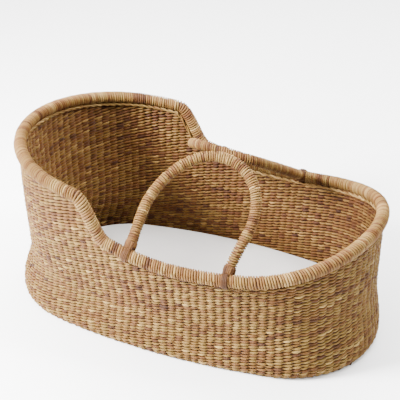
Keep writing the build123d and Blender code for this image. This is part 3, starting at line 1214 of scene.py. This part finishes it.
@dataclass
class HandleForm:
    """Arch of one handle in its leaning plane."""

    form: Form
    side: Side
    lean: float
    skew: float
    feet: tuple[float, float] = (-33 * MM, 160 * MM)
    height: float = 225 * MM
    half_spread: float = 103 * MM
    shoulder: float = 100 * MM
    foot: float = 16.5 * MM

    def seat(self, x: float) -> np.ndarray:
        """Middle of the rim roll under a foot at the place x."""
        z = float(self.form.rim_height(np.array(x)))
        share = np.linspace(0.0, 0.5, 4001)
        ring = self.form.ring(share, z, self.form.wall / 2.0)
        y = float(np.interp(-x, -ring[:, 0], ring[:, 1]))
        return np.array([x, self.side.value * y, z])

    def plane(self) -> tuple[np.ndarray, np.ndarray, np.ndarray, float]:
        """Middle of the feet, directions along and up the arch, and half the span."""
        left, right = (self.seat(x) for x in self.feet)
        along = unit(right - left)
        leaning = np.array([0.0, -self.side.value * math.sin(self.lean), math.cos(self.lean)])
        up = unit(leaning - along * float(leaning @ along))
        return (left + right) / 2.0, along, up, float(np.linalg.norm(right - left)) / 2.0

    def line(self) -> tuple[np.ndarray, np.ndarray]:
        """Middle line of the rope: legs that spread, and a half ellipse on them.

        Returns:
            Points and the direction square to the arch's plane.
        """
        middle, along, up, half = self.plane()
        legs = np.linspace(0.0, 1.0, 40)[:-1]
        leg_x = half + (self.half_spread - half) * smooth(legs, 0.0, 1.3) / smooth(1.0, 0.0, 1.3)
        leg_h = self.foot + (self.shoulder - self.foot) * legs
        angle = np.linspace(0.0, math.pi, 120)
        arch_x = self.half_spread * np.cos(angle)
        arch_h = self.shoulder + (self.height - self.shoulder) * np.sin(angle)
        x = np.concatenate([-leg_x, -arch_x, leg_x[::-1]])
        h = np.concatenate([leg_h, arch_h, leg_h[::-1]])
        x = x - self.skew * smooth(h, 0.0, self.height)
        points = middle + x[:, None] * along + h[:, None] * up
        return points, np.tile(np.cross(along, up), (len(points), 1))


def bezier(corners: np.ndarray, count: int) -> np.ndarray:
    """Points of one Bezier curve: its corners weighted by Bernstein's polynomials.

    Args:
        corners: Control points.
        count: How many points.

    Returns:
        Points from the first corner to the last.
    """
    degree = len(corners) - 1
    t = np.linspace(0.0, 1.0, count)[:, None]
    k = np.arange(degree + 1)
    ways = np.array([math.comb(degree, int(number)) for number in k])
    return (ways * t**k * (1.0 - t) ** (degree - k)) @ corners


@dataclass
class FootLashing:
    """Orange-brown strips that tie one handle foot to the rim."""

    handle: HandleForm
    finishes: Finishes
    foot: int
    rim_radius: float = 13 * MM
    rope_radius: float = 11 * MM
    bridge_strips: int = 6
    bridge_half_width: float = 8 * MM
    bridge_radius: float = 12 * MM
    half_thick: float = 0.9 * MM
    half_wide: float = 1.5 * MM
    rim_turns: int = 4
    rim_width: float = 12 * MM
    foot_turns: int = 3
    foot_width: float = 9 * MM
    steps: int = 28

    def strip(self, centres: np.ndarray, out: np.ndarray, number: float) -> Strand:
        """A flat strip that follows a line with its thin way along out."""
        across, upward = frames(centres, out, False)
        count = len(centres)
        from_ends = np.minimum(np.arange(count), np.arange(count)[::-1])
        taper = np.sqrt(np.clip(from_ends / 2.0, 0.15, 1))
        return Strand(
            centres=centres, across=across, upward=upward,
            half_across=self.half_thick * taper, half_upward=self.half_wide * taper,
            closed=False, tint=np.full(count, hashed(number, self.foot + 3.0)),
            inside=np.zeros(count), sides=8)

    def coil(self, at: np.ndarray, axis: np.ndarray, first: np.ndarray, radius: float,
             turns: float, width: float, number: float) -> Strand:
        """A strip wound round an axis: a helix that spreads over the width."""
        second = np.cross(axis, first)
        share = np.linspace(0.0, 1.0, int(self.steps * turns))
        angle = TAU * turns * share + number
        out = first * np.cos(angle)[:, None] + second * np.sin(angle)[:, None]
        ends = 1.0 - 0.12 * (1.0 - smooth(np.minimum(share, 1.0 - share), 0.0, 0.04))
        centres = at + out * (radius * ends)[:, None] + axis * (width * (share - 0.5))[:, None]
        return self.strip(centres, out, number)

    def build(self) -> None:
        """Make the strips on the rim and, riding on the handle, those on the foot."""
        name = self.handle.side.name.lower()
        end = ("head", "foot")[self.foot]
        _, along, up, _ = self.handle.plane()
        at = self.handle.seat(self.handle.feet[self.foot])
        step = 2 * MM
        rim_way = unit(self.handle.seat(at[0] + step) - self.handle.seat(at[0] - step))
        rim_up = unit(up - rim_way * float(up @ rim_way))
        mesh = StrandMesh(f"{name}_{end}_rim_strips")
        for number in range(2):
            way = 1.0 - 2.0 * number
            radius = self.rim_radius + self.half_thick * (1.0 + 1.2 * number)
            mesh.add(self.coil(at, rim_way * way, rim_up, radius, self.rim_turns - number,
                               self.rim_width * (1.0 - 0.25 * number), number + 1.0))
        piece = mesh.build(self.finishes.strip, "basket", "lashing")
        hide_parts(f"{name}_{end}_lashing")
        mesh = StrandMesh(f"{name}_{end}_foot_strips")
        points, _ = self.handle.line()
        points = points if self.foot == 0 else points[::-1]
        leg = unit(points[3] - points[0])
        start = points[0] + leg * (self.foot_width / 2.0)
        front = unit(np.cross(leg, along))
        for number in range(2):
            way = 1.0 - 2.0 * number
            radius = self.rope_radius + self.half_thick * (0.6 * number - 0.2)
            mesh.add(self.coil(start, leg * way, front, radius, self.foot_turns,
                               self.foot_width, number + 2.0))
        for way in (-1.0, 1.0):
            for spread in np.linspace(-1.0, 1.0, self.bridge_strips):
                offset = self.bridge_half_width * spread
                bulge = math.sqrt(self.bridge_radius**2 - offset**2)
                corners = np.stack([
                    points[0] + leg * 8 * MM + front * way * bulge + along * offset,
                    points[0] + front * way * (bulge + 0.6 * MM) + along * offset,
                    at + up * 13.5 * MM + front * way * bulge + along * offset * 0.94,
                    at + up * 9 * MM + front * way * 8.5 * MM + along * offset * 0.88])
                centres = bezier(corners, 16)
                mesh.add(self.strip(centres, np.tile(front * way, (16, 1)), 4.0 + way + 7 * spread))
        piece = mesh.build(self.finishes.strip, f"{name}_handle", "lashing")
        if self.foot == 0:
            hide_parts(f"{name}_handle_whippings")


# --------------------------------------------------------------------------
# Mattress
# --------------------------------------------------------------------------


@dataclass
class Mattress:
    """Thin flat pad with a sewn edge."""

    finishes: Finishes
    half_length: float = 364 * MM
    half_width: float = 201 * MM
    roundness: float = 0.915
    shift: float = 8 * MM
    crown: float = 3.0 * MM
    rings: int = 40
    around: int = 220

    def build(self) -> None:
        """Make the pad as a closed form: rings from the middle out, over and under."""
        low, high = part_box("mattress_base_cover")[0][2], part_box("mattress_top_cover")[1][2]
        half = (high - low) / 2.0
        angle = np.linspace(0.0, math.pi, self.rings * 2 + 1)
        profile = np.sign(np.cos(angle)) * np.abs(np.cos(angle)) ** 0.35
        reach = np.sin(angle) ** 0.08
        reach[[0, -1]] = 0.0
        share = np.arange(self.around) / self.around
        grow = np.linspace(0.0, 1.0, self.rings * 2 + 1)
        inner = np.minimum(1.0, np.minimum(grow, 1.0 - grow) * 2.4)
        edge = np.minimum(reach, inner)
        radius = self.half_width * self.roundness
        ring = oval_points(share, self.half_length, self.half_width, radius, 0.0, 0.0)
        points = np.empty((len(angle), self.around, 3))
        points[..., :2] = ring[None, :, :2] * edge[:, None, None]
        points[..., 0] += self.shift
        crown = self.crown * (1.0 - edge**2)
        points[..., 2] = (low + half + profile * (half - self.crown))[:, None]
        points[..., 2] += np.where(profile > 0, crown, 0.0)[:, None]
        self.write(points)

    def write(self, points: np.ndarray) -> None:
        """Write the pad's rings as a mesh with closed poles."""
        rows, around = points.shape[:2]
        inner = points[1:-1]
        index = np.arange((rows - 2) * around).reshape(rows - 2, around)
        quads = np.stack([index[:-1], index[1:], np.roll(index[1:], -1, axis=1),
                          np.roll(index[:-1], -1, axis=1)], axis=-1).reshape(-1, 4)
        top, bottom = index.size, index.size + 1
        first = np.stack([np.full(around, top), index[0], np.roll(index[0], -1)], axis=-1)
        last = np.stack([np.full(around, bottom), np.roll(index[-1], -1), index[-1]], axis=-1)
        ends = np.stack([points[0].mean(axis=0), points[-1].mean(axis=0)])
        vertices = np.vstack([inner.reshape(-1, 3), ends])
        mesh = bpy.data.meshes.new("mattress_pad")
        mesh.from_pydata(vertices.tolist(), [], quads.tolist() + first.tolist() + last.tolist())
        mesh.polygons.foreach_set("use_smooth", np.ones(len(mesh.polygons), bool))
        piece = place("mattress_pad", mesh, self.finishes.cotton, "mattress")
        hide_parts("mattress_top_cover", "mattress_border", "mattress_base_cover",
                    "mattress_foam")


# --------------------------------------------------------------------------
# Studio
# --------------------------------------------------------------------------


@dataclass
class Studio:
    """Pale floor, soft light and the camera."""

    target: tuple[float, float, float] = (-0.2697, 0.6416, -0.1412)
    azimuth: float = 23.64
    elevation: float = 28.94
    distance: float = 2.6028
    lens: float = 79.1

    def build(self) -> None:
        """Make the floor, the lights, the world and the camera."""
        self.floor()
        self.light("key_light", (-1.75, -1.45, 1.6), (-0.15, 0.0, 0.12), 0.7, 560.0)
        self.light("top_light", (0.5, 1.4, 2.6), (-0.1, 0.1, 0.1), 2.2, 170.0)
        self.light("head_light", (1.3, 0.3, 2.2), (-0.35, 0.06, 0.2), 0.6, 5.0, spread=32.0)
        world = bpy.data.worlds.new("studio")
        bpy.context.scene.world = world
        world.use_nodes = True
        sheet = NodeSheet(world.node_tree)
        parts = sheet.add("SeparateXYZ", {0: sheet.add("TexCoord").outputs["Generated"]})
        high = sheet.add("MapRange", {0: parts.outputs[2], 1: 0.45, 2: 0.95, 3: 0.10, 4: 5.6})
        left = sheet.add("MapRange", {0: parts.outputs[0], 1: 0.1, 2: -0.9, 3: 0.0, 4: 1.5})
        strength = sheet.math("ADD", high.outputs[0], left.outputs[0])
        background = sheet.add("Background", {"Color": (1.0, 1.0, 1.0, 1.0), "Strength": strength})
        output = sheet.add("OutputWorld")
        sheet.tree.links.new(background.outputs[0], output.inputs[0])
        self.camera()

    def floor(self) -> None:
        """Make a wide pale floor."""
        run = np.linspace(-18.0, 18.0, 61)
        x, y = np.meshgrid(run, run)
        points = np.stack([x, y, np.zeros_like(x)], axis=-1).reshape(-1, 3)
        index = np.arange(61 * 61).reshape(61, 61)
        quads = np.stack([index[:-1, :-1], index[:-1, 1:], index[1:, 1:], index[1:, :-1]], axis=-1)
        mesh = bpy.data.meshes.new("studio_floor")
        mesh.from_pydata(points.tolist(), [], quads.reshape(-1, 4).tolist())
        material = bpy.data.materials.new("studio_floor")
        material.use_nodes = True
        shader = material.node_tree.nodes["Principled BSDF"]
        shader.inputs["Base Color"].default_value = (0.93, 0.93, 0.93, 1.0)
        shader.inputs["Roughness"].default_value = 0.9
        mesh.materials.append(material)
        floor = bpy.data.objects.new("studio_floor", mesh)
        bpy.context.scene.collection.objects.link(floor)

    def light(self, name: str, at: tuple, aim: tuple, size: float, power: float,
              spread: float = 180.0) -> None:
        """Add a square soft light.

        Args:
            name: Its name.
            at: Where it stands.
            aim: The point that it faces.
            size: Length of its side.
            power: Watts.
            spread: Full angle of its beam, in degrees.
        """
        lamp = bpy.data.lights.new(name, "AREA")
        lamp.size = size
        lamp.spread = math.radians(spread)
        lamp.energy = power
        holder = bpy.data.objects.new(name, lamp)
        holder.location = at
        holder.rotation_euler = (Vector(aim) - Vector(at)).to_track_quat("-Z", "Y").to_euler()
        bpy.context.scene.collection.objects.link(holder)

    def camera(self) -> None:
        """Add the camera that looks at the target from its azimuth and elevation."""
        turn, lift = math.radians(self.azimuth), math.radians(self.elevation)
        back = Vector((math.sin(turn) * math.cos(lift), -math.cos(turn) * math.cos(lift),
                       math.sin(lift)))
        lens = bpy.data.cameras.new("camera")
        lens.lens = self.lens
        lens.clip_start = 0.05
        holder = bpy.data.objects.new("camera", lens)
        holder.location = Vector(self.target) + back * self.distance
        holder.rotation_euler = (-back).to_track_quat("-Z", "Y").to_euler()
        bpy.context.scene.collection.objects.link(holder)
        bpy.context.scene.camera = holder


def repaint(node: str, material: bpy.types.Material) -> None:
    """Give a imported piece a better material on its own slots.

    Args:
        node: Name of the piece.
        material: The new material.
    """
    for slot in bpy.data.objects[node].material_slots:
        slot.link = "OBJECT"
        slot.material = material


def main() -> None:
    """Build every piece in order."""
    logging.basicConfig(level=logging.INFO)
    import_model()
    form = Form()
    finishes = Finishes.build()
    WovenWall(form, finishes).build()
    WallStakes(form, finishes).build()
    WovenBase(form, finishes).build()
    RimStitching(form, finishes).build()
    LooseEnds(form, finishes).build()
    share = np.arange(1200) / 1200.0
    rim = form.rim_line(share)
    outward = form.outward(share, rim[:, 2])
    WrappedRope("rim", "basket", rim, outward, True, 13 * MM, 5.0 * MM, finishes,
                ("rim_binding", "rim_core")).build()
    for side, lean, skew in ((Side.NEAR, 46.0, -22 * MM), (Side.FAR, 60.0, 24 * MM)):
        name = side.name.lower()
        handle = HandleForm(form, side, math.radians(lean), skew)
        points, ways = handle.line()
        WrappedRope(f"{name}_handle", f"{name}_handle", points, ways, False, 11 * MM, 4.6 * MM,
                    finishes, (f"{name}_handle_binding", f"{name}_handle_core"),
                    seed=3.0 + side.value).build()
        for foot in (0, 1):
            FootLashing(handle, finishes, foot).build()
    Mattress(finishes).build()
    repaint("zip_tape", finishes.cotton)
    repaint("zip_slider", finishes.metal)
    Studio().build()


if __name__ == "__main__":
    main()
